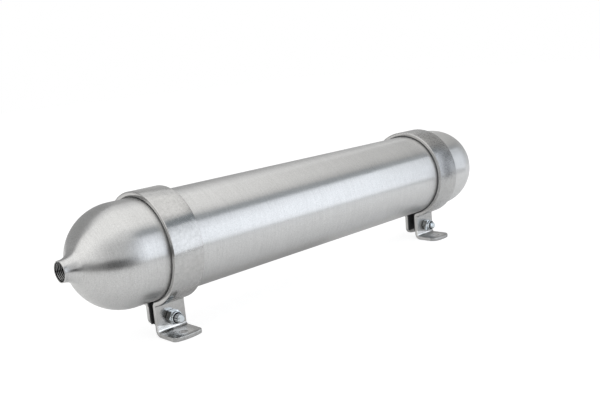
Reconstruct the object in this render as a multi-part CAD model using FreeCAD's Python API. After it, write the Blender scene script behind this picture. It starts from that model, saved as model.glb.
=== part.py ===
import FreeCAD, Part
import math
import os

# A compressed air tank held by two bent-strap clamps with feet. Millimetres.
# X runs along the tank, Z is up and the feet point towards -Y. The origin is on
# the ground, under the middle of the tank.

# Tank: one spun shell with a threaded neck on each dome
tank_diameter = 114.3
tank_length = 692.0  # over both necks
tank_wall = 4.0
neck_diameter = 23.2
neck_length = 12.0  # from the dome's pole to the mouth
neck_flare = 16.0  # radius of the hollow between dome and neck
neck_thickening = 6.0  # extra wall on the axis, where spinning gathers the metal
port_diameter = 18.3  # bore that the pipe thread is cut in
port_chamfer = 1.5
mouth_chamfer = 0.4

# Clamps: a strap bent from flat bar, lined with a rubber strip
front_clamp_inset = 112.5  # from the tank's front mouth to the strap's middle
rear_clamp_inset = 115.5  # the same from the rear mouth
strap_width = 38.1
strap_thickness = 4.76
strap_edge_chamfer = 0.4
liner_thickness = 1.6
liner_inset = 0.9  # how far the liner's edge lies inside the strap's
ear_offset = 15.6  # front ear's outer face from the tank's centre plane
ear_length = 25.94  # straight part of the front ear, between its two bends
front_ear_gap = 9.0
rear_ear_gap = 12.4
shoulder_bend = 1.6  # hollow radius where the ring turns into an ear
foot_bend = 3.0  # hollow radius where the front ear turns into the foot
foot_reach = 32.4  # from the front ear's outer face to the toe
end_crown = 60.0  # radius that the strap's two ends are crowned to
front_toe_corner = 6.5
rear_toe_corner = 11.0
foot_hole_diameter = 8.7
foot_hole_reach = 19.2  # from the front ear's outer face
front_back_ear_clearance = 9.0  # back ear's lower end above the ground
rear_back_ear_clearance = 6.2
back_ear_corner = 8.5
liner_end_clearance = 12.5  # liner's two ends above the ground

# Fasteners: a hex bolt through both ears and a lock nut with a plastic insert
bolt_diameter = 9.525
bolt_length = 38.1
bolt_rise = 11.24  # bolt axis above the end of the foot's bend
bolt_end_chamfer = 1.1
bolt_hole_clearance = 0.4
hex_across_flats = 14.29
head_height = 6.0
hex_chamfer_angle = 30.0
nut_height = 11.6
nut_hex_height = 8.4
nut_crown_diameter = 14.0
nut_crown_chamfer = 0.9
nut_lip_thickness = 0.8
nut_lip_width = 0.9
insert_height = 2.6
insert_cover = 0.4  # how far the lip laps over the insert

tank_radius = tank_diameter / 2
inner_radius = tank_radius - tank_wall
clamp_skin = liner_thickness + strap_thickness
shoulder_distance = tank_radius + clamp_skin + shoulder_bend  # its centre from the axis
shoulder_drop = math.sqrt(shoulder_distance**2 - (ear_offset + shoulder_bend) ** 2)
foot_height = strap_thickness + foot_bend  # where the front ear's straight part starts
axis_height = foot_height + ear_length + shoulder_drop
bolt_height = foot_height + bolt_rise
bolt_radius = bolt_diameter / 2
bolt_hole_radius = bolt_radius + bolt_hole_clearance
hex_flat = hex_across_flats / 2
hex_corner = hex_across_flats / math.sqrt(3)
hex_slope = math.tan(math.radians(hex_chamfer_angle))
insert_top = nut_height - nut_lip_thickness
insert_seat = insert_top - insert_height
insert_radius = nut_crown_diameter / 2 - nut_lip_width + insert_cover

CLAMPS = {
    "front": {
        "x": front_clamp_inset - tank_length / 2,
        "ear_gap": front_ear_gap,
        "toe_corner": front_toe_corner,
        "back_ear_end": front_back_ear_clearance,
    },
    "rear": {
        "x": tank_length / 2 - rear_clamp_inset,
        "ear_gap": rear_ear_gap,
        "toe_corner": rear_toe_corner,
        "back_ear_end": rear_back_ear_clearance,
    },
}


def line(start, end):
    return Part.makeLine(start, end)


def arc(centre, radius, start_angle, end_angle, point):
    """Arc through angles in degrees; point(u, v) places a flat coordinate in space."""
    turns = (start_angle, (start_angle + end_angle) / 2, end_angle)
    places = [
        point(
            centre[0] + radius * math.cos(math.radians(turn)),
            centre[1] + radius * math.sin(math.radians(turn)),
        )
        for turn in turns
    ]
    return Part.Arc(*places).toShape()


def ends(edge):
    return edge.Vertexes[0].Point, edge.Vertexes[-1].Point


def filled(edges):
    """Face inside a closed set of edges."""
    return Part.Face(Part.Wire(Part.__sortEdges__(edges)))


def polygon(points):
    return Part.Face(Part.makePolygon(points + points[:1]))


def angle_to(origin, target):
    return math.degrees(math.atan2(target[1] - origin[1], target[0] - origin[0]))


def sharp_edges(solid):
    """Edges where two faces meet at an angle, not in a smooth run."""
    found = []
    for edge in solid.Edges:
        faces = solid.ancestorsOfType(edge, Part.Face)
        if len(faces) != 2:
            continue
        middle = edge.valueAt((edge.FirstParameter + edge.LastParameter) / 2)
        normals = [face.normalAt(*face.Surface.parameter(middle)) for face in faces]
        if normals[0].getAngle(normals[1]) > math.radians(30):
            found.append(edge)
    return found


def write(node, shape):
    shape.exportStep(os.path.join("parts", node + ".step"))


# Tank


def along(x, r):
    """A point of the tank's half section: distance along the axis and radius."""
    return FreeCAD.Vector(x, 0, r)


def neck_outline(side, dome_centre, inner_centre):
    """Half outline of one end, from the outer cylinder round the mouth to the inner."""
    neck_radius = neck_diameter / 2
    port_radius = port_diameter / 2
    mouth = tank_length / 2
    flare_height = neck_radius + neck_flare
    flare_x = dome_centre + math.sqrt((tank_radius + neck_flare) ** 2 - flare_height**2)
    tangent = angle_to((dome_centre, 0), (flare_x, flare_height))

    def place(x, r):
        return along(side * x, r)

    dome = arc((dome_centre, 0), tank_radius, 90, tangent, place)
    flare = arc((flare_x, flare_height), neck_flare, 180 + tangent, 270, place)
    bore_turn = math.asin(port_radius / inner_radius)
    bore_x = inner_centre + inner_radius * math.cos(bore_turn)
    turned = [
        (flare_x, neck_radius),
        (mouth - mouth_chamfer, neck_radius),
        (mouth, neck_radius - mouth_chamfer),
        (mouth, port_radius + port_chamfer),
        (mouth - port_chamfer, port_radius),
        (bore_x, port_radius),
    ]
    neck = [line(place(*near), place(*far)) for near, far in zip(turned, turned[1:])]
    inner_dome = arc(
        (inner_centre, 0), inner_radius, math.degrees(bore_turn), 90, place
    )
    return [dome, flare] + neck + [inner_dome]


def tank_shell():
    dome_centre = tank_length / 2 - neck_length - tank_radius
    inner_centre = dome_centre - neck_thickening
    section = [
        line(along(-dome_centre, tank_radius), along(dome_centre, tank_radius)),
        line(along(-inner_centre, inner_radius), along(inner_centre, inner_radius)),
    ]
    for side in (-1, 1):
        section += neck_outline(side, dome_centre, inner_centre)
    shell = filled(section).revolve(
        FreeCAD.Vector(0, 0, 0), FreeCAD.Vector(1, 0, 0), 360
    )
    shell.translate(FreeCAD.Vector(0, 0, axis_height))
    return shell


# Clamps


def beside(y, z):
    """A point of a clamp's section: sideways and up from the tank axis."""
    return FreeCAD.Vector(0, y, axis_height + z)


def bent_line(depth, ear_gap, front_end, back_end):
    """The clamp's bent line at a depth under the strap's outer face.

    It runs from the front ear's end, up round the tank and down the back ear. The
    ends are heights above the ground.
    """
    ring_radius = tank_radius + clamp_skin - depth
    bend_radius = shoulder_bend + depth
    front_face = -ear_offset
    back_face = -ear_offset + 2 * strap_thickness + ear_gap
    front_y = front_face - shoulder_bend
    back_y = back_face + shoulder_bend
    front_centre = (front_y, -shoulder_drop)
    back_centre = (back_y, -math.sqrt(shoulder_distance**2 - back_y**2))
    front_turn = angle_to(front_centre, (0, 0))
    back_turn = angle_to(back_centre, (0, 0))

    ear = line(
        beside(front_face + depth, front_end - axis_height),
        beside(front_face + depth, front_centre[1]),
    )
    shoulder = arc(front_centre, bend_radius, 0, front_turn, beside)
    ring = arc((0, 0), ring_radius, front_turn + 180, back_turn - 180, beside)
    back_shoulder = arc(back_centre, bend_radius, back_turn, 180, beside)
    back_ear = line(
        beside(back_face - depth, back_centre[1]),
        beside(back_face - depth, back_end - axis_height),
    )
    return [ear, shoulder, ring, back_shoulder, back_ear]


def foot_line(depth):
    """The foot's line at a depth under its upper face, from the toe to the ear."""
    bend_y = -ear_offset - foot_bend
    bend_z = foot_height - axis_height
    level = bend_z - foot_bend - depth
    sole = line(beside(-ear_offset - foot_reach, level), beside(bend_y, level))
    bend = arc((bend_y, bend_z), foot_bend + depth, -90, 0, beside)
    return [sole, bend]


def closed_band(outer, inner):
    """Face between two rows of edges that run side by side."""
    start = line(ends(outer[0])[0], ends(inner[0])[0])
    finish = line(ends(outer[-1])[1], ends(inner[-1])[1])
    return filled(outer + inner + [start, finish])


def widened(face, width):
    """A section drawn at X = 0, made into a solid that is centred there."""
    solid = face.extrude(FreeCAD.Vector(width, 0, 0))
    solid.translate(FreeCAD.Vector(-width / 2, 0, 0))
    return solid


def end_waste(corner, thickness):
    """What is trimmed off a bar's end to round it. The tip is at Y = 0, towards -Y."""
    half = strap_width / 2
    corner_x = half - corner
    corner_y = end_crown - math.sqrt((end_crown - corner) ** 2 - corner_x**2)
    lean = math.degrees(math.atan2(corner_x, end_crown - corner_y))

    def flat(x, y):
        return FreeCAD.Vector(x, y, 0)

    bar_end = [
        line(flat(half, half), flat(-half, half)),
        line(flat(-half, half), flat(-half, corner_y)),
        arc((-corner_x, corner_y), corner, 180, 270 - lean, flat),
        arc((0, end_crown), end_crown, 270 - lean, 270 + lean, flat),
        arc((corner_x, corner_y), corner, 270 + lean, 360, flat),
        line(flat(half, corner_y), flat(half, half)),
    ]
    kept = filled(bar_end).extrude(FreeCAD.Vector(0, 0, thickness))
    block = Part.makeBox(2 * strap_width, strap_width, thickness)
    block.translate(FreeCAD.Vector(-strap_width, -half, 0))
    return block.cut(kept)


def clamp_strap(clamp):
    ear_gap = clamp["ear_gap"]
    back_ear_end = clamp["back_ear_end"]
    sides = [
        foot_line(depth) + bent_line(depth, ear_gap, foot_height, back_ear_end)
        for depth in (0, strap_thickness)
    ]
    strap = widened(closed_band(*sides), strap_width)

    toe_waste = end_waste(clamp["toe_corner"], 3 * strap_thickness)
    toe_waste.translate(FreeCAD.Vector(0, -ear_offset - foot_reach, -strap_thickness))
    ear_waste = end_waste(back_ear_corner, strap_thickness + ear_gap)
    ear_waste.rotate(FreeCAD.Vector(0, 0, 0), FreeCAD.Vector(1, 0, 0), 90)
    back_face = -ear_offset + 2 * strap_thickness + ear_gap
    ear_waste.translate(FreeCAD.Vector(0, back_face + ear_gap / 2, back_ear_end))
    strap = strap.cut(toe_waste).cut(ear_waste)
    strap = strap.makeChamfer(strap_edge_chamfer, sharp_edges(strap))
    return strap.cut(bolt_hole(clamp)).cut(foot_hole())


def bolt_hole(clamp):
    """Drill through both ears."""
    return Part.makeCylinder(
        bolt_hole_radius,
        clamp["ear_gap"] + 4 * strap_thickness,
        FreeCAD.Vector(0, -ear_offset - strap_thickness, bolt_height),
        FreeCAD.Vector(0, 1, 0),
    )


def foot_hole():
    return Part.makeCylinder(
        foot_hole_diameter / 2,
        3 * strap_thickness,
        FreeCAD.Vector(0, -ear_offset - foot_hole_reach, -strap_thickness),
    )


def clamp_liner(clamp):
    sides = [
        bent_line(depth, clamp["ear_gap"], liner_end_clearance, liner_end_clearance)
        for depth in (strap_thickness, clamp_skin)
    ]
    liner = widened(closed_band(*sides), strap_width - 2 * liner_inset)
    return liner.cut(bolt_hole(clamp))


# Fasteners, drawn on +Z from a seat at Z = 0


def spun(points):
    """A solid turned from a half section of (radius, height) points."""
    places = [FreeCAD.Vector(radius, 0, height) for radius, height in points]
    return polygon(places).revolve(
        FreeCAD.Vector(0, 0, 0), FreeCAD.Vector(0, 0, 1), 360
    )


def hexagon(height):
    """A hexagonal prism with a corner on +X."""
    turns = [math.radians(60 * step) for step in range(6)]
    places = [
        FreeCAD.Vector(hex_corner * math.cos(turn), hex_corner * math.sin(turn), 0)
        for turn in turns
    ]
    return polygon(places).extrude(FreeCAD.Vector(0, 0, height))


def hex_bolt():
    """The head stands on the seat and the shank runs down from it."""
    envelope = spun(
        [
            (0, 0),
            (hex_corner, 0),
            (hex_corner, head_height - (hex_corner - hex_flat) * hex_slope),
            (hex_flat, head_height),
            (0, head_height),
        ]
    )
    head = hexagon(head_height).common(envelope)
    shank = spun(
        [
            (0, 0),
            (bolt_radius, 0),
            (bolt_radius, bolt_end_chamfer - bolt_length),
            (bolt_radius - bolt_end_chamfer, -bolt_length),
            (0, -bolt_length),
        ]
    )
    return head.fuse(shank)


def lock_nut():
    crown_radius = nut_crown_diameter / 2
    envelope = spun(
        [
            (0, 0),
            (hex_flat, 0),
            (hex_corner, (hex_corner - hex_flat) * hex_slope),
            (hex_corner, nut_hex_height - (hex_corner - crown_radius) * hex_slope),
            (crown_radius, nut_hex_height),
            (0, nut_hex_height),
        ]
    )
    body = hexagon(nut_hex_height).common(envelope)
    crown = spun(
        [
            (0, 0),
            (crown_radius, 0),
            (crown_radius, nut_height - nut_crown_chamfer),
            (crown_radius - nut_crown_chamfer, nut_height),
            (0, nut_height),
        ]
    )
    inside = spun(
        [
            (0, 0),
            (bolt_radius, 0),
            (bolt_radius, insert_seat),
            (insert_radius, insert_seat),
            (insert_radius, insert_top),
            (insert_radius - insert_cover, insert_top),
            (insert_radius - insert_cover, nut_height),
            (0, nut_height),
        ]
    )
    return body.fuse(crown).cut(inside)


def nut_insert():
    return spun(
        [
            (bolt_radius, insert_seat),
            (insert_radius, insert_seat),
            (insert_radius, insert_top),
            (bolt_radius, insert_top),
        ]
    )


def seated(shape, face_y, towards):
    """Turn a fastener from +Z to +Y or -Y and seat it on an ear's outer face."""
    shape.rotate(FreeCAD.Vector(0, 0, 0), FreeCAD.Vector(1, 0, 0), -90 * towards)
    shape.translate(FreeCAD.Vector(0, face_y, bolt_height))
    return shape


def build():
    os.makedirs("parts", exist_ok=True)
    write("tank_shell", tank_shell())
    for name, clamp in CLAMPS.items():
        back_face = -ear_offset + 2 * strap_thickness + clamp["ear_gap"]
        pieces = {
            "clamp_strap": clamp_strap(clamp),
            "clamp_liner": clamp_liner(clamp),
            "clamp_bolt": seated(hex_bolt(), back_face, 1),
            "lock_nut": seated(lock_nut(), -ear_offset, -1),
            "nut_insert": seated(nut_insert(), -ear_offset, -1),
        }
        for piece, shape in pieces.items():
            shape.translate(FreeCAD.Vector(clamp["x"], 0, 0))
            write(name + "_" + piece, shape)


build()
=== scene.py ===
import math

import bmesh
import bpy
from mathutils import Matrix, Vector


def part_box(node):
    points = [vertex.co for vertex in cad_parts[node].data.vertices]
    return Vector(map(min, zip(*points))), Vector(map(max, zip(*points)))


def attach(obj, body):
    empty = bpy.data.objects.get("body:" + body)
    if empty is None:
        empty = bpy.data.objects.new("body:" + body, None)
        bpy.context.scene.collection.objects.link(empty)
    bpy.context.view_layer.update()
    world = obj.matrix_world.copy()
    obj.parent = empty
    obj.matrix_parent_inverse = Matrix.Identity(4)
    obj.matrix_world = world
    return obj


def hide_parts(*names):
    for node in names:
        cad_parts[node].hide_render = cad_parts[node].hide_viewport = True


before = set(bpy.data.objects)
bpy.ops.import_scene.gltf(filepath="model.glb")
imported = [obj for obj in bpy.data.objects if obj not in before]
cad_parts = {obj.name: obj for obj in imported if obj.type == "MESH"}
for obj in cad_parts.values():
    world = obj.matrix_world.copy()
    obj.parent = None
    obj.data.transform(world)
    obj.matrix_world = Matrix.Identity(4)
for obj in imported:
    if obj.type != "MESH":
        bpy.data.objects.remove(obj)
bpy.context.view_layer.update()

# Compressed air tank in two strap clamps. Metres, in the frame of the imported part:
# X runs along the tank, Z is up and the feet point towards -Y.

MM = 0.001
RIGHT_ANGLE = math.radians(90)

# Tank ends
NECK_LENGTH = 12.0 * MM
NECK_RADIUS = 11.6 * MM
NECK_FLARE = 16.0 * MM
RIM_ROUND = 0.4 * MM
TANK_WALL = 4.0 * MM
NECK_THICKENING = 6.0 * MM
PORT_RADIUS = 9.15 * MM
PORT_CHAMFER = 1.5 * MM
PORT_THREAD_PITCH = 1.814 * MM
PORT_THREAD_DEPTH = 1.1 * MM
PORT_THREAD_LENGTH = 15.0 * MM

# Clamps
STRAP_THICKNESS = 4.76 * MM
STRAP_EDGE_ROUND = 0.8 * MM
LINER_THICKNESS = 1.6 * MM
LINER_INSET = 0.9 * MM
LINER_EDGE_ROUND = 0.25 * MM
LINER_END_CLEARANCE = 12.5 * MM
EAR_OFFSET = 15.6 * MM
SHOULDER_BEND = 1.6 * MM
FOOT_BEND = 3.0 * MM
END_CROWN = 60.0 * MM
BACK_EAR_CORNER = 8.5 * MM
FOOT_HOLE_RADIUS = 4.35 * MM
FOOT_HOLE_REACH = 19.2 * MM
HOLE_EDGE_BREAK = 0.35 * MM
CLAMPS = {
    "front": {"ear_gap": 9.0 * MM, "toe_corner": 6.5 * MM, "back_ear_end": 9.0 * MM},
    "rear": {"ear_gap": 12.4 * MM, "toe_corner": 11.0 * MM, "back_ear_end": 6.2 * MM},
}

# Fasteners
BOLT_RADIUS = 9.525 / 2 * MM
BOLT_END_CHAMFER = 1.5 * MM
BOLT_PITCH = 1.5875 * MM
BOLT_THREAD_DEPTH = 0.95 * MM
BOLT_THREAD_LENGTH = 26.0 * MM
BOLT_HOLE_CLEARANCE = 0.4 * MM
HEX_FLAT = 14.29 / 2 * MM
HEX_SLOPE = math.tan(math.radians(30))
HEX_LEAST_CHAMFER = 0.02 * MM
WASHER_FACE_RADIUS = HEX_FLAT * 0.96
HEAD_HEIGHT = 6.0 * MM
NUT_HEX_HEIGHT = 8.4 * MM
NUT_HEIGHT = 11.6 * MM
NUT_CROWN_RADIUS = 7.0 * MM
NUT_CROWN_ROUND = 0.9 * MM
NUT_CROWN_LEDGE = 0.05 * MM
NUT_CROWN_FILLET = 0.15 * MM
NUT_LIP = 0.8 * MM
NUT_LIP_LAP = 0.4 * MM
NUT_LIP_ROUND = 0.15 * MM
INSERT_RADIUS = 6.5 * MM
INSERT_HEIGHT = 2.6 * MM
INSERT_SLACK = 0.02 * MM
INSERT_BEVEL_WIDTH = 0.35 * MM
INSERT_BEVEL_DEPTH = 0.3 * MM

# How finely the curves are cut
TANK_SEGMENTS = 144
FASTENER_SEGMENTS = 96
DRILL_SEGMENTS = 48
DOME_STEPS = 30
FLARE_STEPS = 16
INNER_DOME_STEPS = 18
CROWN_STEPS = 10
CORNER_STEPS = 12
NUT_CROWN_STEPS = 6
NUT_LIP_STEPS = 3
EDGE_STEPS = 4
LEAST_BEND_STEPS = 8
BEND_STEP_DEGREES = 3
THREAD_RINGS_PER_PITCH = 10
THREAD_RUNOUT_PITCHES = 2

# Edges with a larger angle than this, in degrees, stay sharp
BAR_SHARP_ANGLE = 35
DRILL_SHARP_ANGLE = 30
FASTENER_SHARP_ANGLE = 28

# Lengths too small to tell two points apart
MERGE_DISTANCE = 1e-7
DEGENERATE_LENGTH = 1e-8
SAME_MARK = 1e-8
SAME_STATION = 1e-9

low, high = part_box("tank_shell")
TANK_MIDDLE = (low.x + high.x) / 2
TANK_HALF_LENGTH = (high.x - low.x) / 2
TANK_RADIUS = (high.z - low.z) / 2
AXIS_HEIGHT = (high.z + low.z) / 2
CLAMP_SKIN = LINER_THICKNESS + STRAP_THICKNESS


# Mesh helpers


def mesh_object(name, points, faces, sharp_angle=None):
    mesh = bpy.data.meshes.new(name)
    mesh.from_pydata(points, [], faces)
    mesh.validate()
    clean_mesh(mesh)
    smooth_mesh(mesh, sharp_angle)
    mesh.update()
    piece = bpy.data.objects.new(name, mesh)
    bpy.context.collection.objects.link(piece)
    return piece


def clean_mesh(mesh):
    """Merge the doubled points and turn the faces outwards."""
    work = bmesh.new()
    work.from_mesh(mesh)
    bmesh.ops.remove_doubles(work, verts=work.verts, dist=MERGE_DISTANCE)
    bmesh.ops.dissolve_degenerate(work, edges=work.edges, dist=DEGENERATE_LENGTH)
    bmesh.ops.recalc_face_normals(work, faces=work.faces)
    work.to_mesh(mesh)
    work.free()


def smooth_mesh(mesh, sharp_angle):
    for polygon in mesh.polygons:
        polygon.use_smooth = True
    if sharp_angle is not None:
        mesh.set_sharp_from_angle(angle=math.radians(sharp_angle))


def arc(start, finish, steps):
    """The turns of an arc's points, both ends included."""
    return [start + (finish - start) * step / steps for step in range(steps + 1)]


def quarter(steps):
    return arc(0.0, RIGHT_ANGLE, steps)


def lathe(name, rows, segments, closed, place, sharp_angle=None):
    """A turned mesh. A row gives (radius, height) at each turn, or one fixed pair.

    place(radius, turn, height) puts a point in space. A row of zero radius is a pole.
    """
    points = []
    for row in rows:
        for step in range(segments):
            turn = 2 * math.pi * step / segments
            radius, height = row(turn) if callable(row) else row
            points.append(place(radius, turn, height))
    starts = [segments * row for row in range(len(rows))]
    pairs = list(zip(starts, starts[1:]))
    if closed:
        pairs.append((starts[-1], starts[0]))
    steps = [(step, (step + 1) % segments) for step in range(segments)]
    faces = [
        (here + step, here + after, there + after, there + step)
        for here, there in pairs
        for step, after in steps
    ]
    return mesh_object(name, points, faces, sharp_angle)


def cut_away(piece, cutters, sharp_angle):
    """Cut holes, keep the result as the piece's own mesh and drop the cutters."""
    for cutter in cutters:
        cut = piece.modifiers.new("cut", "BOOLEAN")
        cut.operation = "DIFFERENCE"
        cut.solver = "EXACT"
        cut.object = cutter
    graph = bpy.context.evaluated_depsgraph_get()
    mesh = bpy.data.meshes.new_from_object(piece.evaluated_get(graph))
    piece.modifiers.clear()
    piece.data = mesh
    mesh.name = piece.name
    for cutter in cutters:
        bpy.data.objects.remove(cutter)
    smooth_mesh(mesh, sharp_angle)


def thread_wave(along, turn, pitch):
    """0 on a thread's crest and 1 in its root, for a right-hand thread."""
    phase = (along / pitch - turn / (2 * math.pi)) % 1.0
    return 1 - abs(2 * phase - 1)


def thread_fade(left, pitch):
    """The share of a thread's full depth, by the length left to its end."""
    return min(1.0, left / (THREAD_RUNOUT_PITCHES * pitch))


# Tank


def port_row(depth, side):
    """One ring of the threaded bore, at a depth from the mouth."""
    fade = max(0.0, thread_fade(PORT_THREAD_LENGTH - depth, PORT_THREAD_PITCH))

    def row(turn):
        wave = thread_wave(-depth * side, turn * side, PORT_THREAD_PITCH)
        thread = PORT_RADIUS + PORT_THREAD_DEPTH * fade * wave
        mouth = PORT_RADIUS + PORT_CHAMFER - depth
        return max(thread, mouth), side * (TANK_HALF_LENGTH - depth)

    return row


def tank_end(side):
    """Rows of one end, from the outer cylinder round the mouth to the inner wall."""
    dome_centre = TANK_HALF_LENGTH - NECK_LENGTH - TANK_RADIUS
    flare_height = NECK_RADIUS + NECK_FLARE
    reach = math.sqrt((TANK_RADIUS + NECK_FLARE) ** 2 - flare_height**2)
    tangent = math.atan2(flare_height, reach)
    outline = [
        (TANK_RADIUS * math.sin(turn), dome_centre + TANK_RADIUS * math.cos(turn))
        for turn in arc(RIGHT_ANGLE, tangent, DOME_STEPS)
    ]
    outline += [
        (
            flare_height - NECK_FLARE * math.sin(turn),
            dome_centre + reach - NECK_FLARE * math.cos(turn),
        )
        for turn in arc(tangent, RIGHT_ANGLE, FLARE_STEPS)[1:]
    ]
    outline += [
        (
            NECK_RADIUS - RIM_ROUND * (1 - math.cos(turn)),
            TANK_HALF_LENGTH - RIM_ROUND * (1 - math.sin(turn)),
        )
        for turn in quarter(EDGE_STEPS)
    ]
    rows = [(radius, side * height) for radius, height in outline]

    ring_step = PORT_THREAD_PITCH / THREAD_RINGS_PER_PITCH
    ring_count = round(PORT_THREAD_LENGTH / ring_step)
    rows += [port_row(ring_step * ring, side) for ring in range(ring_count + 1)]

    inner_radius = TANK_RADIUS - TANK_WALL
    inner_centre = dome_centre - NECK_THICKENING
    bore_turn = math.asin(PORT_RADIUS / inner_radius)
    rows += [
        (
            inner_radius * math.sin(turn),
            side * (inner_centre + inner_radius * math.cos(turn)),
        )
        for turn in arc(bore_turn, RIGHT_ANGLE, INNER_DOME_STEPS)
    ]
    return rows


def tank_shell():
    rows = list(reversed(tank_end(-1))) + tank_end(1)

    def place(radius, turn, height):
        return (
            TANK_MIDDLE + height,
            radius * math.cos(turn),
            AXIS_HEIGHT + radius * math.sin(turn),
        )

    return lathe("spun_tank", rows, TANK_SEGMENTS, True, place)


# Clamps: a bar's bent line as runs and arcs in the YZ plane

NO_OUTLINES = ((), ())


class BentLine:
    """The strap's outer face as a line of stations, with the way into the bar."""

    def __init__(self):
        self.stations = []  # distance, point, direction along, direction into the bar
        self.length = 0.0

    def run(self, start, finish, inwards, marks=()):
        """A straight stretch, with stations also at the marks that lie on it."""
        start, finish = Vector(start), Vector(finish)
        along = (finish - start).normalized()
        span = (finish - start).length
        for distance in sorted({0.0, span, *(m for m in marks if 0 < m < span)}):
            self.add(distance, start + along * distance, along, Vector(inwards))
        self.length += span

    def bend(self, centre, radius, start, finish, inwards):
        """inwards is 1 where the bar lies outside the arc and -1 where it is inside."""
        sweep = math.radians(finish - start)
        steps = max(
            LEAST_BEND_STEPS, math.ceil(abs(finish - start) / BEND_STEP_DEGREES)
        )
        for step in range(steps + 1):
            turn = math.radians(start) + sweep * step / steps
            out = Vector((math.cos(turn), math.sin(turn)))
            along = Vector((-out.y, out.x)) * (1 if sweep > 0 else -1)
            distance = abs(sweep) * radius * step / steps
            self.add(distance, Vector(centre) + out * radius, along, out * inwards)
        self.length += abs(sweep) * radius

    def add(self, distance, point, along, inwards):
        place = self.length + distance
        if self.stations and place - self.stations[-1][0] < SAME_STATION:
            return
        self.stations.append((place, point, along, inwards))


def end_outline(half_width, corner):
    """Points round a crowned end with rounded corners.

    Each has its distance from the tip, its half width and its inward normal.
    """
    corner_w = half_width - corner
    corner_s = END_CROWN - math.sqrt((END_CROWN - corner) ** 2 - corner_w**2)
    lean = math.atan2(corner_w, END_CROWN - corner_s)
    crown = [
        (turn, END_CROWN * (1 - math.cos(turn)), END_CROWN * math.sin(turn))
        for turn in arc(0.0, lean, CROWN_STEPS)[:-1]
    ]
    rounding = [
        (turn, corner_s - corner * math.cos(turn), corner_w + corner * math.sin(turn))
        for turn in arc(lean, RIGHT_ANGLE, CORNER_STEPS)
    ]
    return [
        (distance, width, (math.cos(turn), -math.sin(turn)))
        for turn, distance, width in crown + rounding
    ]


def back_ear_face(clamp):
    """Y of the back ear's outer face."""
    return -EAR_OFFSET + 2 * STRAP_THICKNESS + clamp["ear_gap"]


def clamp_line(clamp, back_end, front_end=None, foot_reach=None, outlines=NO_OUTLINES):
    """The outer face's line: front ear, ring and back ear.

    The front ear ends at front_end, or in a foot of the given reach. The outlines of
    the toe and of the back ear's end say where they need stations.
    """
    toe_marks, ear_marks = ([mark[0] for mark in outline] for outline in outlines)
    ring_radius = TANK_RADIUS + CLAMP_SKIN
    distance = ring_radius + SHOULDER_BEND
    back_face = back_ear_face(clamp)
    axis = Vector((0, AXIS_HEIGHT))

    def shoulder(y):
        """The centre of the bend beside an ear, and the turn from there to the axis."""
        centre = Vector((y, 0))
        centre.y = AXIS_HEIGHT - math.sqrt(distance**2 - centre.x**2)
        across, up = axis - centre
        return centre, math.degrees(math.atan2(up, across))

    front_centre, front_turn = shoulder(-EAR_OFFSET - SHOULDER_BEND)
    back_centre, back_turn = shoulder(back_face + SHOULDER_BEND)

    line = BentLine()
    if foot_reach is not None:
        foot_centre = (-EAR_OFFSET - FOOT_BEND, STRAP_THICKNESS + FOOT_BEND)
        toe = (-EAR_OFFSET - foot_reach, STRAP_THICKNESS)
        line.run(toe, (foot_centre[0], STRAP_THICKNESS), (0, -1), toe_marks)
        line.bend(foot_centre, FOOT_BEND, -90, 0, 1)
        front_end = foot_centre[1]
    line.run((-EAR_OFFSET, front_end), (-EAR_OFFSET, front_centre.y), (1, 0))
    line.bend(front_centre, SHOULDER_BEND, 0, front_turn, 1)
    line.bend(axis, ring_radius, front_turn + 180, back_turn - 180, -1)
    line.bend(back_centre, SHOULDER_BEND, back_turn, 180, 1)
    span = back_centre.y - back_end
    marks = [span - mark for mark in ear_marks]
    line.run((back_face, back_centre.y), (back_face, back_end), (-1, 0), marks)
    return line


def bar_rim(line, half_width, outlines):
    """Each station with the bar's half width and the inward normal of its edge."""
    start_outline, finish_outline = outlines
    rim = []
    for place, point, along, inwards in line.stations:
        half, normal_s, normal_w = half_width, 0.0, -1.0
        for distance, width, normal in start_outline:
            if abs(distance - place) < SAME_MARK:
                half, normal_s, normal_w = width, normal[0], normal[1]
        for distance, width, normal in finish_outline:
            if abs(line.length - distance - place) < SAME_MARK:
                half, normal_s, normal_w = width, -normal[0], normal[1]
        rim.append((point, along, inwards, half, normal_s, normal_w))
    return rim


def bent_bar(
    name, line, middle_x, half_width, depths, edge_round, outlines=NO_OUTLINES
):
    """A bar swept along a bent line between two depths, with its edges rounded."""
    rim = bar_rim(line, half_width, outlines)
    levels = [
        (edge_round * (1 - math.sin(turn)), depths[0] + edge_round * (1 - math.cos(turn)))
        for turn in quarter(EDGE_STEPS)
    ]
    levels += [
        (inset, depths[0] + depths[1] - depth) for inset, depth in reversed(levels)
    ]

    points = []
    for inset, depth in levels:
        for side in (1, -1):
            for point, along, inwards, half, normal_s, normal_w in rim:
                flat = point + inwards * depth + along * (normal_s * inset)
                width = max(0.0, half + normal_w * inset) * side
                points.append((middle_x + width, flat.x, flat.y))
    count = len(rim)
    loop = list(range(count)) + [count + step for step in reversed(range(count))]
    starts = [2 * count * level for level in range(len(levels))]
    faces = [
        (lower + here, lower + there, upper + there, upper + here)
        for lower, upper in zip(starts, starts[1:])
        for here, there in zip(loop, loop[1:] + loop[:1])
    ]
    faces += [
        (base + step, base + step + 1, base + count + step + 1, base + count + step)
        for base in (starts[0], starts[-1])
        for step in range(count - 1)
    ]
    return mesh_object(name, points, faces, BAR_SHARP_ANGLE)


def drill(radius, flare, start, finish, place):
    """A cutter for a round hole, wider past its two edges."""
    past = 2 * MM
    rows = [
        (0.0, start - past),
        (radius + flare + past, start - past),
        (radius, start + flare),
        (radius, finish - flare),
        (radius + flare + past, finish + past),
        (0.0, finish + past),
    ]
    return lathe("drill", rows, DRILL_SEGMENTS, False, place, DRILL_SHARP_ANGLE)


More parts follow.
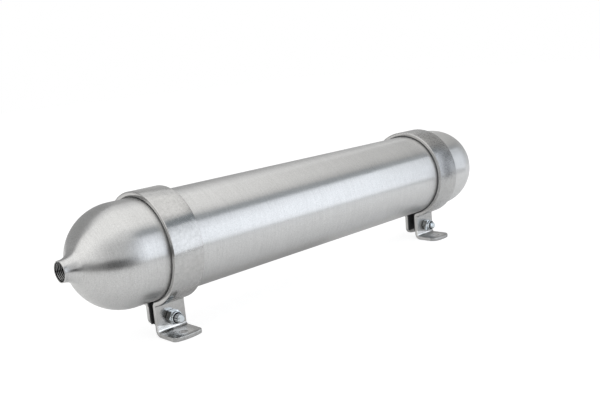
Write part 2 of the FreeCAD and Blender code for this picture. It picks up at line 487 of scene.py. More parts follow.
def x_span(node):
    """The middle and half width of a node along X."""
    low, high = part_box(node)
    return (low.x + high.x) / 2, (high.x - low.x) / 2


def foot_toe(name):
    """Y of the toe: the foot is the lowest part of the strap."""
    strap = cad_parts[name + "_clamp_strap"]
    return min(v.co.y for v in strap.data.vertices if v.co.z < STRAP_THICKNESS)


def clamp_pieces(name, clamp):
    middle_x, half_width = x_span(name + "_clamp_strap")
    foot_reach = -EAR_OFFSET - foot_toe(name)
    bolt_low, bolt_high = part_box(name + "_clamp_bolt")
    bolt_height = (bolt_low.z + bolt_high.z) / 2
    outlines = (
        end_outline(half_width, clamp["toe_corner"]),
        end_outline(half_width, BACK_EAR_CORNER),
    )

    def across(radius, turn, height):
        return (
            middle_x + radius * math.cos(turn),
            height,
            bolt_height + radius * math.sin(turn),
        )

    def down(radius, turn, height):
        return (
            middle_x + radius * math.cos(turn),
            -EAR_OFFSET - FOOT_HOLE_REACH + radius * math.sin(turn),
            height,
        )

    def bolt_drill():
        radius = BOLT_RADIUS + BOLT_HOLE_CLEARANCE
        return drill(radius, 0.0, -EAR_OFFSET, back_ear_face(clamp), across)

    strap = bent_bar(
        name + "_bent_strap",
        clamp_line(
            clamp, clamp["back_ear_end"], foot_reach=foot_reach, outlines=outlines
        ),
        middle_x,
        half_width,
        (0.0, STRAP_THICKNESS),
        STRAP_EDGE_ROUND,
        outlines,
    )
    foot_drill = drill(FOOT_HOLE_RADIUS, HOLE_EDGE_BREAK, 0.0, STRAP_THICKNESS, down)
    cut_away(strap, [bolt_drill(), foot_drill], BAR_SHARP_ANGLE)
    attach(strap, "root")
    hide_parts(name + "_clamp_strap")

    liner = bent_bar(
        name + "_rubber_liner",
        clamp_line(clamp, LINER_END_CLEARANCE, front_end=LINER_END_CLEARANCE),
        middle_x,
        half_width - LINER_INSET,
        (STRAP_THICKNESS, CLAMP_SKIN),
        LINER_EDGE_ROUND,
    )
    cut_away(liner, [bolt_drill()], BAR_SHARP_ANGLE)
    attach(liner, "root")
    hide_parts(name + "_clamp_liner")
    return strap, liner


# Fasteners, drawn on a seat at height 0


def hex_radius(turn):
    """Distance to a hexagon's side, with a corner on each side and a flat on top."""
    local = turn % (math.pi / 3)
    return HEX_FLAT / math.cos(local - math.pi / 6)


def chamfered_hex(height, low_radius, high_radius):
    """Rows up a hexagon whose corners are chamfered to round end faces."""

    def chamfer(radius, face_radius):
        return max(HEX_LEAST_CHAMFER, (radius - face_radius) * HEX_SLOPE)

    def lower(turn):
        radius = hex_radius(turn)
        return radius, chamfer(radius, low_radius)

    def upper(turn):
        radius = hex_radius(turn)
        return radius, height - chamfer(radius, high_radius)

    return [(low_radius, 0.0), lower, upper, (high_radius, height)]


def bolt_rows(length):
    """The head from its top down to the seat, then the shank and its thread."""
    head = chamfered_hex(HEAD_HEIGHT, WASHER_FACE_RADIUS, WASHER_FACE_RADIUS)
    rows = [(0.0, HEAD_HEIGHT)] + list(reversed(head)) + [(BOLT_RADIUS, 0.0)]
    ring_step = BOLT_PITCH / THREAD_RINGS_PER_PITCH
    rings = round(BOLT_THREAD_LENGTH / ring_step)

    def ring_at(distance):
        fade = thread_fade(BOLT_THREAD_LENGTH - distance, BOLT_PITCH)

        def row(turn):
            wave = thread_wave(distance, turn, BOLT_PITCH)
            thread = BOLT_RADIUS - BOLT_THREAD_DEPTH * wave * fade
            tip = BOLT_RADIUS - BOLT_END_CHAMFER + distance
            return min(thread, tip), distance - length

        return row

    rows += [ring_at(ring_step * ring) for ring in range(rings, -1, -1)]
    return rows + [(0.0, -length)]


def nut_rows():
    """Up the hexagon, over the crown, and down by the lip, the groove and the bore."""
    rows = chamfered_hex(
        NUT_HEX_HEIGHT, WASHER_FACE_RADIUS, NUT_CROWN_RADIUS + NUT_CROWN_LEDGE
    )
    rows.append((NUT_CROWN_RADIUS, NUT_HEX_HEIGHT + NUT_CROWN_FILLET))
    rows += [
        (
            NUT_CROWN_RADIUS - NUT_CROWN_ROUND * (1 - math.cos(turn)),
            NUT_HEIGHT - NUT_CROWN_ROUND * (1 - math.sin(turn)),
        )
        for turn in quarter(NUT_CROWN_STEPS)
    ]
    lip_radius = INSERT_RADIUS - NUT_LIP_LAP
    rows += [
        (
            lip_radius + NUT_LIP_ROUND * (1 - math.sin(turn)),
            NUT_HEIGHT - NUT_LIP_ROUND * (1 - math.cos(turn)),
        )
        for turn in quarter(NUT_LIP_STEPS)
    ]
    groove_top = NUT_HEIGHT - NUT_LIP
    return rows + [
        (lip_radius, groove_top),
        (INSERT_RADIUS, groove_top),
        (INSERT_RADIUS, groove_top - INSERT_HEIGHT),
        (BOLT_RADIUS, groove_top - INSERT_HEIGHT),
        (BOLT_RADIUS, 0.0),
    ]


def insert_rows():
    top = NUT_HEIGHT - NUT_LIP
    return [
        (BOLT_RADIUS, top - INSERT_HEIGHT),
        (INSERT_RADIUS, top - INSERT_HEIGHT),
        (INSERT_RADIUS, top - INSERT_SLACK),
        (BOLT_RADIUS + INSERT_BEVEL_WIDTH, top - INSERT_SLACK),
        (BOLT_RADIUS, top - INSERT_BEVEL_DEPTH),
    ]


def fasteners(name):
    low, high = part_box(name + "_clamp_bolt")
    middle = Vector(((low.x + high.x) / 2, 0, (low.z + high.z) / 2))
    back_face = high.y - HEAD_HEIGHT
    length = back_face - low.y

    def towards(face_y, side):
        def place(radius, turn, height):
            return (
                middle.x - side * radius * math.cos(turn),
                face_y + side * height,
                middle.z + radius * math.sin(turn),
            )

        return place

    pieces = {}
    for piece, node, rows, closed, face_y, side in (
        ("hex_bolt", "_clamp_bolt", bolt_rows(length), False, back_face, 1),
        ("crowned_nut", "_lock_nut", nut_rows(), True, -EAR_OFFSET, -1),
        ("nylon_ring", "_nut_insert", insert_rows(), True, -EAR_OFFSET, -1),
    ):
        pieces[piece] = lathe(
            name + "_" + piece,
            rows,
            FASTENER_SEGMENTS,
            closed,
            towards(face_y, side),
            FASTENER_SHARP_ANGLE,
        )
        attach(pieces[piece], "root")
        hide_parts(name + node)
    return pieces


# Materials


class Shader:
    """A material with its nodes, made by short calls."""

    def __init__(self, name):
        self.material = bpy.data.materials.new(name)
        self.material.use_nodes = True
        self.tree = self.material.node_tree
        self.bsdf = self.tree.nodes["Principled BSDF"]

    def node(self, kind, settings=None, **inputs):
        made = self.tree.nodes.new(kind)
        for key, value in (settings or {}).items():
            setattr(made, key, value)
        for key, value in inputs.items():
            self.put(made.inputs[key.replace("_", " ")], value)
        return made

    def put(self, socket, value):
        if isinstance(value, bpy.types.NodeSocket):
            self.tree.links.new(value, socket)
        else:
            socket.default_value = value

    def place(self):
        return self.tree.nodes.new("ShaderNodeTexCoord").outputs["Object"]

    def axes(self, place):
        return self.node("ShaderNodeSeparateXYZ", Vector=place).outputs[:]

    def math(self, operation, first, second=0.0, third=0.0):
        made = self.tree.nodes.new("ShaderNodeMath")
        made.operation = operation
        for socket, value in zip(made.inputs, (first, second, third)):
            self.put(socket, value)
        return made.outputs[0]

    def distance(self, first, second):
        squares = [self.math("MULTIPLY", side, side) for side in (first, second)]
        return self.math("SQRT", self.math("ADD", *squares))

    def product(self, *factors):
        total = factors[0]
        for factor in factors[1:]:
            total = self.math("MULTIPLY", total, factor)
        return total

    def noise(self, vector, scale, detail=2.0, rough=0.5):
        made = self.node(
            "ShaderNodeTexNoise",
            Vector=vector,
            Scale=scale,
            Detail=detail,
            Roughness=rough,
        )
        return made.outputs["Fac"]

    def spread(self, value, low, high, span=(0.3, 0.7)):
        """Low up to the span's start, high from its end on, and a slope between."""
        made = self.node("ShaderNodeMapRange", Value=value)
        for key, number in zip(
            ("From Min", "From Max", "To Min", "To Max"), (*span, low, high)
        ):
            made.inputs[key].default_value = number
        return made.outputs["Result"]

    def rising(self, value, span, full=1.0):
        return self.spread(value, 0.0, full, span)

    def falling(self, value, span, full=1.0):
        return self.spread(value, full, 0.0, span)

    def shades(self, value, dark, light, span=(0.3, 0.7)):
        """A ramp from a dark to a light colour over a span of the value."""
        made = self.node("ShaderNodeValToRGB", Fac=value)
        for element, stop, color in zip(made.color_ramp.elements, span, (dark, light)):
            element.position = stop
            element.color = color
        return made.outputs["Color"]

    def mix(self, factor, first, second):
        made = self.node("ShaderNodeMix", {"data_type": "RGBA"})
        sockets = {socket.identifier: socket for socket in made.inputs}
        self.put(sockets["Factor_Float"], factor)
        self.put(sockets["A_Color"], first)
        self.put(sockets["B_Color"], second)
        return next(out for out in made.outputs if out.identifier == "Result_Color")

    def bump(self, height, distance, strength):
        made = self.node(
            "ShaderNodeBump", Height=height, Distance=distance, Strength=strength
        )
        return made.outputs["Normal"]

    def finish(self, **inputs):
        for key, value in inputs.items():
            self.put(self.bsdf.inputs[key.replace("_", " ")], value)
        return self.material


def paint(red, green, blue):
    return (red, green, blue, 1.0)


def grey(level):
    return paint(level, level, level)


def warm_grey(level):
    return paint(level, 0.995 * level, 0.98 * level)


def span_from(base, start, finish):
    """A span given from a base length."""
    return base + start, base + finish


# Shade in the ports: the bore's crests and the wall outside its thread, by radius
PORT_ROOT = PORT_RADIUS + PORT_THREAD_DEPTH
PORT_CREST_SPAN = span_from(PORT_RADIUS, 0.1 * MM, 0.6 * MM)
PORT_WALL_SPAN = span_from(PORT_ROOT, 0.05 * MM, 0.3 * MM)
PORT_LIT_DEPTH = (6 * MM, PORT_THREAD_LENGTH)
PORT_LEAST_LIGHT = 0.02


def port_shade(shader, color, radius, x):
    """Darken the tapped bores, whose walls see little but each other."""
    depth = shader.math("SUBTRACT", TANK_HALF_LENGTH, shader.math("ABSOLUTE", x))
    lit = shader.product(
        shader.falling(radius, PORT_CREST_SPAN), shader.falling(depth, PORT_LIT_DEPTH)
    )
    outside = shader.rising(radius, PORT_WALL_SPAN)
    inside = shader.spread(lit, PORT_LEAST_LIGHT, 1.0, (0.0, 1.0))
    return shader.mix(shader.math("MAXIMUM", outside, inside), grey(0.0), color)


def brushed_aluminium():
    """Satin spun metal: fine lines that run round the tank, also over its domes."""
    shader = Shader("spun_aluminium")
    x, y, z = shader.axes(shader.place())
    centred = shader.math("SUBTRACT", z, AXIS_HEIGHT)
    radius = shader.distance(y, centred)
    meridian = shader.math("SUBTRACT", shader.math("ABSOLUTE", x), radius)

    def lines(across, around, detail, rough):
        """Noise that changes fast along the tank and slowly round it."""
        vector = shader.node(
            "ShaderNodeCombineXYZ",
            X=shader.math("MULTIPLY", meridian, across),
            Y=shader.math("MULTIPLY", y, around),
            Z=shader.math("MULTIPLY", centred, around),
        )
        return shader.noise(vector.outputs[0], 1.0, detail, rough)

    fine = lines(across=3400.0, around=150.0, detail=3.0, rough=0.6)
    coarse = lines(across=500.0, around=30.0, detail=2.0, rough=0.5)
    cloud = shader.noise(shader.place(), scale=14.0)
    grain = shader.noise(shader.place(), scale=1000.0, detail=3.0, rough=0.7)
    streaks = shader.math(
        "MULTIPLY_ADD", coarse, 0.4, shader.math("MULTIPLY", fine, 0.6)
    )
    mixed = shader.math(
        "MULTIPLY_ADD", grain, 0.65, shader.math("MULTIPLY", streaks, 0.35)
    )
    color = shader.shades(
        mixed, paint(0.50, 0.50, 0.495), paint(0.65, 0.65, 0.645), (0.40, 0.60)
    )
    rough = shader.math(
        "ADD", shader.spread(fine, 0.28, 0.35), shader.spread(cloud, -0.02, 0.02)
    )
    tangent = shader.node("ShaderNodeTangent", {"direction_type": "RADIAL", "axis": "X"})
    return shader.finish(
        Base_Color=port_shade(shader, color, radius, x),
        Metallic=1.0,
        Roughness=rough,
        Anisotropic=0.85,
        Anisotropic_Rotation=0.25,
        Tangent=tangent.outputs[0],
        Normal=shader.bump(mixed, distance=0.04 * MM, strength=0.7),
    )


# How each clamp's metal looks: the bar's brightness (painted light and shade) and added
# roughness, the depth of the painted shade on its ring's front, and the dark and light
# grey of the painted shade on the nut's sides
CLAMP_LOOKS = {
    "front": {"painted_light_level": 1.02, "rough": -0.03, "ring_shade": 0.0, "nut_shade_greys": (0.16, 0.30)},
    "rear": {"painted_light_level": 0.88, "rough": 0.06, "ring_shade": 0.63, "nut_shade_greys": (0.34, 0.55)},
}

# Marks on a strap, painted shade and a painted highlight among them: where each fades
# in or out, by height, depth or distance
RING_SHADE_FOOT = (91 * MM, 104 * MM)
RING_SHADE_TOP = (128 * MM, 144 * MM)
RING_SHADE_BACK = (-25 * MM, 0.0)
CREASE_FOOT = (5.3 * MM, 6.3 * MM)
CREASE_TOP = (8.3 * MM, 9.3 * MM)
CREASE_BACK = (-14 * MM, -13 * MM)
CREASE_SLOPE = 0.24
SCUFF_TOP = (8 * MM, 30 * MM)
FOOT_TOP = span_from(STRAP_THICKNESS, 1 * MM, 2 * MM)
HOLE_PALE_SPAN = span_from(FOOT_HOLE_RADIUS, 2 * MM, 9 * MM)
HOLE_WALL = span_from(FOOT_HOLE_RADIUS, 0.0, 0.2 * MM)
HOLE_RIM_START = span_from(FOOT_HOLE_RADIUS, 0.0, 0.1 * MM)
HOLE_RIM_END = span_from(FOOT_HOLE_RADIUS, 0.6 * MM, 1 * MM)


def tumbled_aluminium(middle_x, half_width, look):
    """Bar that was bent and tumbled: mottled, lightly pitted, with bright edges.

    It has a painted highlight in the foot's crease, is paler round the foot's hole, has
    painted light on the hole's wall and painted shade on its rim, and is scuffed rougher
    near the floor. Painted shade may darken the ring's front.
    """
    shader = Shader("tumbled_aluminium")
    place = shader.place()
    x, y, z = shader.axes(place)
    off_middle = shader.math("SUBTRACT", x, middle_x)
    from_hole = shader.distance(
        off_middle, shader.math("ADD", y, EAR_OFFSET + FOOT_HOLE_REACH)
    )
    mottle = shader.noise(place, scale=250.0, detail=4.0, rough=0.7)
    grain = shader.noise(place, scale=1900.0, detail=3.0, rough=0.7)
    pits = shader.noise(place, scale=700.0)

    # Painted shade on the ring's front, deep on the rear clamp, dimming the light it
    # mirrors
    painted_ring_shade = shader.product(
        shader.spread(mottle, 0.75 * look["ring_shade"], look["ring_shade"]),
        shader.rising(z, RING_SHADE_FOOT),
        shader.falling(z, RING_SHADE_TOP),
        shader.falling(y, RING_SHADE_BACK),
    )
    pitted = shader.rising(pits, (0.66, 0.74), full=0.38)
    on_edge = shader.rising(
        shader.math("ABSOLUTE", off_middle), span_from(half_width, -0.35 * MM, -0.05 * MM)
    )
    # Painted highlight: the foot's crease is painted near white, as if it mirrored a
    # bright light
    painted_crease_highlight = shader.product(
        shader.falling(
            shader.math("MULTIPLY_ADD", off_middle, CREASE_SLOPE, z), CREASE_TOP
        ),
        shader.rising(z, CREASE_FOOT),
        shader.falling(y, CREASE_BACK),
    )
    on_foot = shader.falling(z, FOOT_TOP)
    pale_round_hole = shader.product(shader.falling(from_hole, HOLE_PALE_SPAN, full=0.85), on_foot)
    # Painted light: the hole's wall is painted pale, and made less metallic below, so
    # that it looks lit
    painted_hole_light = shader.product(shader.falling(from_hole, HOLE_WALL), on_foot)
    # Painted shade: a dark ring round the hole's rim
    painted_rim_shade = shader.product(
        shader.rising(from_hole, HOLE_RIM_START),
        shader.falling(from_hole, HOLE_RIM_END, full=0.85),
        on_foot,
    )

    # The bar's greys scale per clamp: painted light and shade, darker on the rear clamp
    # for the dimmer light it mirrors
    color = shader.shades(
        shader.math("MULTIPLY_ADD", grain, 0.35, shader.math("MULTIPLY", mottle, 0.65)),
        warm_grey(0.415 * look["painted_light_level"]),
        warm_grey(0.53 * look["painted_light_level"]),
        (0.36, 0.64),
    )
    # Tints over the bar: painted ring shade, dark pits, bright edges, a painted crease
    # highlight, paler round the hole, painted light on the hole's wall and painted shade
    # on its rim
    for mask, tint in (
        (painted_ring_shade, paint(0.20, 0.205, 0.215)),
        (pitted, paint(0.2, 0.2, 0.21)),
        (on_edge, paint(0.60, 0.595, 0.585)),
        (painted_crease_highlight, paint(0.90, 0.90, 0.89)),
        (pale_round_hole, paint(0.78, 0.775, 0.76)),
        (painted_hole_light, paint(0.75, 0.74, 0.73)),
        (painted_rim_shade, grey(0.10)),
    ):
        color = shader.mix(mask, color, tint)

    rough = shader.math(
        "ADD",
        shader.spread(mottle, 0.205 + look["rough"], 0.235 + look["rough"]),
        shader.spread(grain, -0.03, 0.03),
    )
    return shader.finish(
        Base_Color=color,
        Metallic=shader.spread(painted_hole_light, 1.0, 0.2, (0.0, 1.0)),
        Roughness=shader.math("ADD", rough, shader.falling(z, SCUFF_TOP, full=0.08)),
        Normal=shader.bump(grain, distance=0.03 * MM, strength=0.5),
    )


# The liner's paler outer half, beside the strap, by radius and by height
LINER_PALE_START = span_from(TANK_RADIUS, 0.7 * MM, 1.1 * MM)
LINER_PALE_FOOT = (41 * MM, 47 * MM)


def liner_rubber():
    shader = Shader("liner_rubber")
    place = shader.place()
    y, z = shader.axes(place)[1:]
    radius = shader.distance(y, shader.math("SUBTRACT", z, AXIS_HEIGHT))
    grain = shader.noise(place, scale=900.0, detail=3.0, rough=0.6)
    pale_outer_half = shader.product(
        shader.rising(radius, LINER_PALE_START), shader.rising(z, LINER_PALE_FOOT)
    )
    color = shader.shades(grain, paint(0.015, 0.015, 0.016), paint(0.030, 0.030, 0.031))
    return shader.finish(
        Base_Color=shader.mix(pale_outer_half, color, grey(0.30)),
        Roughness=shader.spread(grain, 0.55, 0.7),
        Normal=shader.bump(grain, distance=0.05 * MM, strength=0.4),
    )


# Parts of a nut and a bolt's end, by height over the ear, radius and height over the axis
EAR_SURFACE = (-0.2 * MM, 0.0)
NUT_SIDE = (NUT_CROWN_RADIUS, HEX_FLAT)
NUT_SIDE_END = (6.6 * MM, NUT_HEX_HEIGHT)
NUT_LOWER_HALF = (-2 * MM, 0.0)
NUT_LOWER_SHORTENING = 3 * MM
NUT_TOP_FLAT = span_from(HEX_FLAT, -0.4 * MM, -0.1 * MM)
SEAT_START = span_from(BOLT_RADIUS, 1 * MM, 1.2 * MM)
SEAT_TOP = (0.6 * MM, 1.3 * MM)
RECESS_WALL = span_from(INSERT_RADIUS, -0.4 * MM, -0.2 * MM)
RECESS_TOP = span_from(NUT_HEIGHT, 0.0, 0.5 * MM)
THREAD_WALL = span_from(BOLT_RADIUS, -0.55 * MM, -0.1 * MM)
THREAD_END = (-1.9 * MM, -1.5 * MM)


def zinc_plate(middle, tip, nut_shade_greys):
    """Bright zinc with a faint blue cast, with painted shade on the nut's sides and in
    gaps.
    """
    shader = Shader("zinc_plate")
    place = shader.place()
    x, y, z = shader.axes(place)
    upward = shader.math("SUBTRACT", z, middle.z)
    radius = shader.distance(shader.math("SUBTRACT", x, middle.x), upward)
    height = shader.math("SUBTRACT", -EAR_OFFSET, y)
    cloud = shader.noise(place, scale=260.0, detail=3.0, rough=0.55)
    fine = shader.noise(place, scale=2400.0)

    before_ear = shader.rising(height, EAR_SURFACE)
    below_axis = shader.falling(upward, NUT_LOWER_HALF, full=NUT_LOWER_SHORTENING)
    # Painted shade on the nut's sides, shorter below the axis; the top flat keeps the
    # bright zinc, as if lit from above
    side_shade_mask = shader.product(
        before_ear,
        shader.rising(radius, NUT_SIDE),
        shader.falling(shader.math("ADD", height, below_axis), NUT_SIDE_END),
        shader.falling(upward, NUT_TOP_FLAT),
    )
    # Painted shade in the gaps: a dark line where the nut sits on the ear, in the
    # insert's recess and in the bolt's thread roots
    at_seat = shader.product(
        before_ear, shader.rising(radius, SEAT_START), shader.falling(height, SEAT_TOP)
    )
    in_recess = shader.product(
        shader.falling(radius, RECESS_WALL),
        shader.falling(height, RECESS_TOP),
        before_ear,
    )
    in_thread = shader.product(
        shader.falling(radius, THREAD_WALL),
        shader.falling(height, span_from(tip, *THREAD_END)),
        before_ear,
    )
    dark = shader.math("MAXIMUM", at_seat, shader.math("MAXIMUM", in_recess, in_thread))
    bright = shader.shades(cloud, paint(0.60, 0.66, 0.70), paint(0.74, 0.78, 0.80))
    # Dark and light grey of the painted shade on the nut's sides, lighter on the rear nut
    low, high = nut_shade_greys
    side_shade_grey = shader.shades(
        cloud, paint(low, 1.06 * low, 1.07 * low), paint(high, 1.02 * high, 0.97 * high)
    )
    color = shader.mix(side_shade_mask, bright, side_shade_grey)
    return shader.finish(
        Base_Color=shader.mix(dark, color, grey(0.03)),
        Metallic=1.0,
        Roughness=shader.spread(cloud, 0.10, 0.18),
        Normal=shader.bump(fine, distance=0.01 * MM, strength=0.5),
    )


def insert_nylon():
    shader = Shader("insert_nylon")
    grain = shader.noise(shader.place(), scale=1200.0)
    return shader.finish(
        Base_Color=shader.shades(
            grain, paint(0.008, 0.008, 0.009), paint(0.014, 0.014, 0.015)
        ),
        Roughness=shader.spread(grain, 0.45, 0.6),
        Specular_IOR_Level=0.2,
        Normal=shader.bump(grain, distance=0.02 * MM, strength=0.3),
    )


def dress(piece, material):
    piece.data.materials.clear()
    piece.data.materials.append(material)


# The object

aluminium = brushed_aluminium()
rubber = liner_rubber()
nylon = insert_nylon()

tank = tank_shell()
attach(tank, "root")
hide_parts("tank_shell")
dress(tank, aluminium)

for clamp_name, clamp in CLAMPS.items():
    look = CLAMP_LOOKS[clamp_name]
    strap, liner = clamp_pieces(clamp_name, clamp)
    dress(strap, tumbled_aluminium(*x_span(clamp_name + "_clamp_strap"), look))
    dress(liner, rubber)
    low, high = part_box(clamp_name + "_clamp_bolt")
    zinc = zinc_plate((low + high) / 2, -EAR_OFFSET - low.y, look["nut_shade_greys"])
    for piece, made in fasteners(clamp_name).items():
        dress(made, nylon if piece == "nylon_ring" else zinc)


# Stage: a white floor, a white surround, and cards and softboxes for the metal to mirror

CAMERA_PLACE = Vector((-0.6816, -0.7021, 0.2868))
CAMERA_AZIMUTH = math.radians(-43.7805)
CAMERA_ELEVATION = math.radians(10.7221)
CAMERA_ROLL = math.radians(-5.2143)
CAMERA_LENS_MM = 46.2
CAMERA_SENSOR_MM = 36

FLOOR_HALF_WIDTH = 6.0
SURROUND_LIGHT = 0.6
SURROUND_WHITE = 1.0

WHITE = (1, 1, 1)
COOL = (0.90, 0.94, 1.0)
WARM = (1.0, 0.995, 0.985)
SKY = (0.82, 0.92, 1.0)


def photo_camera():
    back = Vector(
        (
            math.sin(CAMERA_AZIMUTH) * math.cos(CAMERA_ELEVATION),
            -math.cos(CAMERA_AZIMUTH) * math.cos(CAMERA_ELEVATION),
            math.sin(CAMERA_ELEVATION),
        )
    )
    level = (-back).cross(Vector((0, 0, 1))).normalized()
    upright = level.cross(-back)
    right = level * math.cos(CAMERA_ROLL) + upright * math.sin(CAMERA_ROLL)
    up = back.cross(right)
    data = bpy.data.cameras.new("photo_camera")
    data.sensor_width = CAMERA_SENSOR_MM
    data.lens = CAMERA_LENS_MM
    camera = bpy.data.objects.new("photo_camera", data)
    turned = Matrix((right, up, back)).transposed().to_4x4()
    camera.matrix_world = Matrix.Translation(CAMERA_PLACE) @ turned
    bpy.context.collection.objects.link(camera)
    bpy.context.scene.camera = camera


def sheet_of(name, corners):
    mesh = bpy.data.meshes.new(name)
    mesh.from_pydata([Vector(corner) for corner in corners], [], [(0, 1, 2, 3)])
    made = bpy.data.objects.new(name, mesh)
    bpy.context.collection.objects.link(made)
    return made


def bare_material(name):
    """A material with an empty tree, and the socket that its surface goes into."""
    material = bpy.data.materials.new(name)
    material.use_nodes = True
    tree = material.node_tree
    tree.nodes.clear()
    out = tree.nodes.new("ShaderNodeOutputMaterial")
    return material, tree, out.inputs["Surface"]


def seen_by_camera_or_gloss(tree):
    path = tree.nodes.new("ShaderNodeLightPath")
    total = path.outputs["Is Camera Ray"]
    for name in ("Is Glossy Ray", "Is Transmission Ray"):
        add = tree.nodes.new("ShaderNodeMath")
        add.operation = "ADD"
        add.use_clamp = True
        tree.links.new(total, add.inputs[0])
        tree.links.new(path.outputs[name], add.inputs[1])
        total = add.outputs[0]
    return total


def shaded_white(tree, matt_level, glow_level, mask=None):
    """A matt white that takes shadows, with part of its white as its own light."""
    matt = tree.nodes.new("ShaderNodeBsdfDiffuse")
    matt.inputs["Color"].default_value = (matt_level, matt_level, matt_level, 1)
    glow = tree.nodes.new("ShaderNodeEmission")
    glow.inputs["Strength"].default_value = glow_level
    if mask is not None:
        scale = tree.nodes.new("ShaderNodeMath")
        scale.operation = "MULTIPLY"
        scale.inputs[1].default_value = glow_level
        tree.links.new(mask, scale.inputs[0])
        tree.links.new(scale.outputs[0], glow.inputs["Strength"])
    both = tree.nodes.new("ShaderNodeAddShader")
    tree.links.new(matt.outputs[0], both.inputs[0])
    tree.links.new(glow.outputs[0], both.inputs[1])
    return both.outputs[0]


def level_corners(left, right, near, far, height):
    """Corners of a level rectangle."""
    outline = ((left, near), (right, near), (right, far), (left, far))
    return [(x, y, height) for x, y in outline]


def upright_corners(y, *outline):
    """Corners of a sheet that faces along Y, from its (x, z) outline."""
    return [(x, y, z) for x, z in outline]


def floor():
    """A white floor: faint shadow for the camera, fuller shadow in the metal."""
    half = FLOOR_HALF_WIDTH
    made = sheet_of("floor", level_corners(-half, half, -half, half, 0))
    material, tree, surface = bare_material("floor_white")
    path = tree.nodes.new("ShaderNodeLightPath")
    mix = tree.nodes.new("ShaderNodeMixShader")
    tree.links.new(path.outputs["Is Camera Ray"], mix.inputs[0])
    mask = seen_by_camera_or_gloss(tree)
    mirrored = shaded_white(tree, matt_level=0.9, glow_level=0.1, mask=mask)
    pictured = shaded_white(tree, matt_level=0.3, glow_level=0.85)
    tree.links.new(mirrored, mix.inputs[1])
    tree.links.new(pictured, mix.inputs[2])
    tree.links.new(mix.outputs[0], surface)
    made.data.materials.append(material)


def surround():
    """A world that is white to the camera and in the metal, and dimmer to matt faces."""
    world = bpy.data.worlds.new("surround")
    bpy.context.scene.world = world
    world.use_nodes = True
    tree = world.node_tree
    ground = tree.nodes["Background"]
    ground.inputs["Color"].default_value = (*WHITE, 1)
    level = tree.nodes.new("ShaderNodeMapRange")
    level.inputs["To Min"].default_value = SURROUND_LIGHT
    level.inputs["To Max"].default_value = SURROUND_WHITE
    tree.links.new(seen_by_camera_or_gloss(tree), level.inputs["Value"])
    tree.links.new(level.outputs[0], ground.inputs["Strength"])


def studio_sheet(name, corners, level, tint=WHITE, gives_light=False):
    """A card or softbox that the metal mirrors. The camera looks through it."""
    made = sheet_of(name, corners)
    material, tree, surface = bare_material(name)
    glow = tree.nodes.new("ShaderNodeEmission")
    glow.inputs["Color"].default_value = (*tint, 1)
    glow.inputs["Strength"].default_value = level
    tree.links.new(glow.outputs[0], surface)
    made.data.materials.append(material)
    made.visible_camera = False
    made.visible_diffuse = gives_light
    made.visible_transmission = False
    made.visible_shadow = False


def wall(name, start, finish, bottom, top, level, tint=WHITE, gives_light=False):
    corners = [(*start, bottom), (*finish, bottom), (*finish, top), (*start, top)]
    studio_sheet(name, corners, level, tint, gives_light)


photo_camera()
floor()
surround()

# Side softboxes: their top left and top right corners (x, z), the right edge's x at the
# floor, the light at the foot and the share of it that is left at the top
SIDE_PLANE = -0.55
SIDE_SOFTBOXES = (
    ("side_softbox_end", (-0.34, 0.44), (-0.25, 0.456), -0.25, 0.60, 0.75),
    ("side_softbox_end_inner", (-0.25, 0.456), (-0.17, 0.47), -0.17, 1.05, 0.75),
    ("side_softbox_near", (-0.17, 0.47), (-0.08, 0.486), -0.08, 1.45, 0.70),
    ("side_softbox_left", (-0.08, 0.486), (0.25, 0.545), 0.25, 1.75, 0.72),
    ("side_softbox_middle", (0.25, 0.545), (0.46, 0.584), 0.46, 1.66, 0.80),
    ("side_softbox_middle_right", (0.46, 0.584), (0.65, 0.61), 0.65, 1.78, 0.90),
    ("side_softbox_right", (0.65, 0.61), (0.98, 0.66), 0.98, 2.1, 0.90),
    ("side_softbox_far", (0.98, 0.66), (1.30, 0.71), 1.20, 3.0, 0.95),
)
for name, left, right, foot, level, fade in SIDE_SOFTBOXES:
    for low_share, high_share, strength in (
        (0.0, 0.62, 1.0),
        (0.62, 0.82, (1 + fade) / 2),
        (0.82, 1.04, fade),
    ):
        low_right = foot + (right[0] - foot) * low_share
        high_right = foot + (right[0] - foot) * high_share
        corners = upright_corners(
            SIDE_PLANE,
            (left[0], left[1] * low_share),
            (low_right, right[1] * low_share),
            (high_right, right[1] * high_share),
            (left[0], left[1] * high_share),
        )
        studio_sheet(name, corners, level * strength, COOL, gives_light=True)

# Level sheets above the tank: left, right, near and far edge, and light
TOP_HEIGHT = 1.8
for name, left, right, near, far, level in (
    ("top_softbox", -1.8, 1.35, -0.9, 0.9, 1.3),
    ("top_softbox_edge", 1.35, 2.0, -0.4, 0.9, 0.80),
    ("top_softbox_corner", 1.35, 2.0, -0.9, -0.4, 0.66),
    ("top_flag", 2.0, 3.4, -0.4, 0.9, 0.46),
    ("top_flag_corner", 2.0, 3.4, -0.9, -0.4, 0.38),
):
    corners = level_corners(left, right, near, far, TOP_HEIGHT)
    studio_sheet(name, corners, level, WARM, gives_light=name == "top_softbox")

# Upright sheets round the stage: start and finish (x, y), bottom, top and light
wall("left_softbox", (-1.8, -0.2), (-1.8, 1.45), 0.15, 1.6, 1.4, WARM, gives_light=True)
wall("camera_card", (-2.1, -0.9), (0.2, -2.3), 0.0, 1.6, 0.7)
wall("right_card", (0.2, -2.3), (3.2, -1.0), 0.0, 2.6, 0.38, SKY)
wall("far_right_card", (4.0, -1.0), (4.0, 2.2), 0.0, 4.0, 0.55)
wall("back_card", (-1.8, 1.45), (0.9, 2.2), 0.0, 2.4, 0.42)
wall("back_right_card", (0.9, 2.2), (4.0, 2.2), 0.0, 2.0, 0.57)

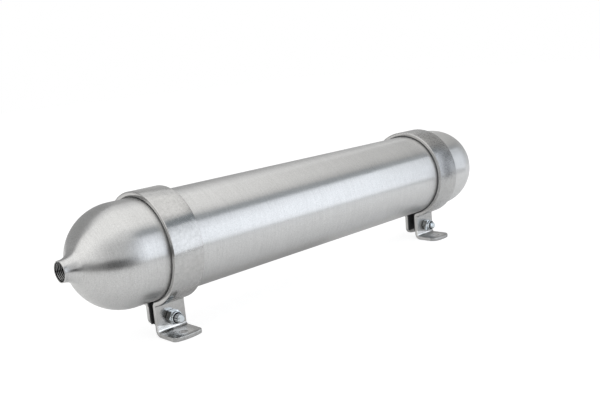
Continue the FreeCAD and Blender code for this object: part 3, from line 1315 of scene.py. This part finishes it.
# Low dim cards round the near end: start and finish (x, y), top and light
for name, start, finish, top, level in (
    ("flag_a", (-0.17, -0.50), (-0.31, -0.48), 0.08, 0.55),
    ("flag_b", (-0.31, -0.48), (-0.45, -0.42), 0.13, 0.16),
    ("flag_c", (-0.45, -0.42), (-0.66, -0.22), 0.135, 0.06),
    ("flag_d", (-0.66, -0.22), (-0.66, 0.12), 0.10, 0.28),
):
    wall(name, start, finish, 0.0, top, level)

# Dim sheets just above the floor under the tank, a painted shadow of the tank that the
# metal mirrors: left, right, near and far edge, light
UNDER_TANK_HEIGHT = 1 * MM
for name, left, right, near, far, level in (
    ("under_tank_near", -0.21, 0.05, -0.042, -0.030, 0.60),
    ("under_tank_middle", -0.21, 0.05, -0.030, -0.018, 0.50),
    ("under_tank_far", -0.21, 0.05, -0.018, 0.10, 0.42),
    ("under_tank_right", 0.05, 0.30, -0.030, 0.10, 0.62),
):
    studio_sheet(name, level_corners(left, right, near, far, UNDER_TANK_HEIGHT), level)

# Dark cards that the rear ring mirrors: low edge, high edge, bottom, top and light
RING_FLAG_PLANE = -0.30
for name, low_left, low_right, high_left, high_right, bottom, top, level in (
    ("rear_ring_flag_low", 0.485, 0.615, 0.485, 0.615, 0.0, 0.15, 0.06),
    ("rear_ring_flag_high", 0.485, 0.615, 0.645, 0.78, 0.15, 0.40, 0.04),
):
    corners = upright_corners(
        RING_FLAG_PLANE,
        (low_left, bottom),
        (low_right, bottom),
        (high_right, top),
        (high_left, top),
    )
    studio_sheet(name, corners, level, SKY)

# Grey sheets on the floor, at the foot of the low cards and of the side softboxes
FLOOR_FLAG_HEIGHT = 2 * MM
for name, *outline in (
    ("flag_b_floor", (-0.45, -0.42), (-0.31, -0.48), (-0.29, -0.39), (-0.41, -0.34)),
    ("flag_c_floor", (-0.66, -0.22), (-0.45, -0.42), (-0.41, -0.34), (-0.59, -0.16)),
):
    studio_sheet(name, [(x, y, FLOOR_FLAG_HEIGHT) for x, y in outline], 0.5)
studio_sheet(
    "floor_flag", level_corners(-0.2, 1.1, -0.55, -0.37, FLOOR_FLAG_HEIGHT), 0.72
)

scene = bpy.context.scene
scene.view_settings.view_transform = "Standard"
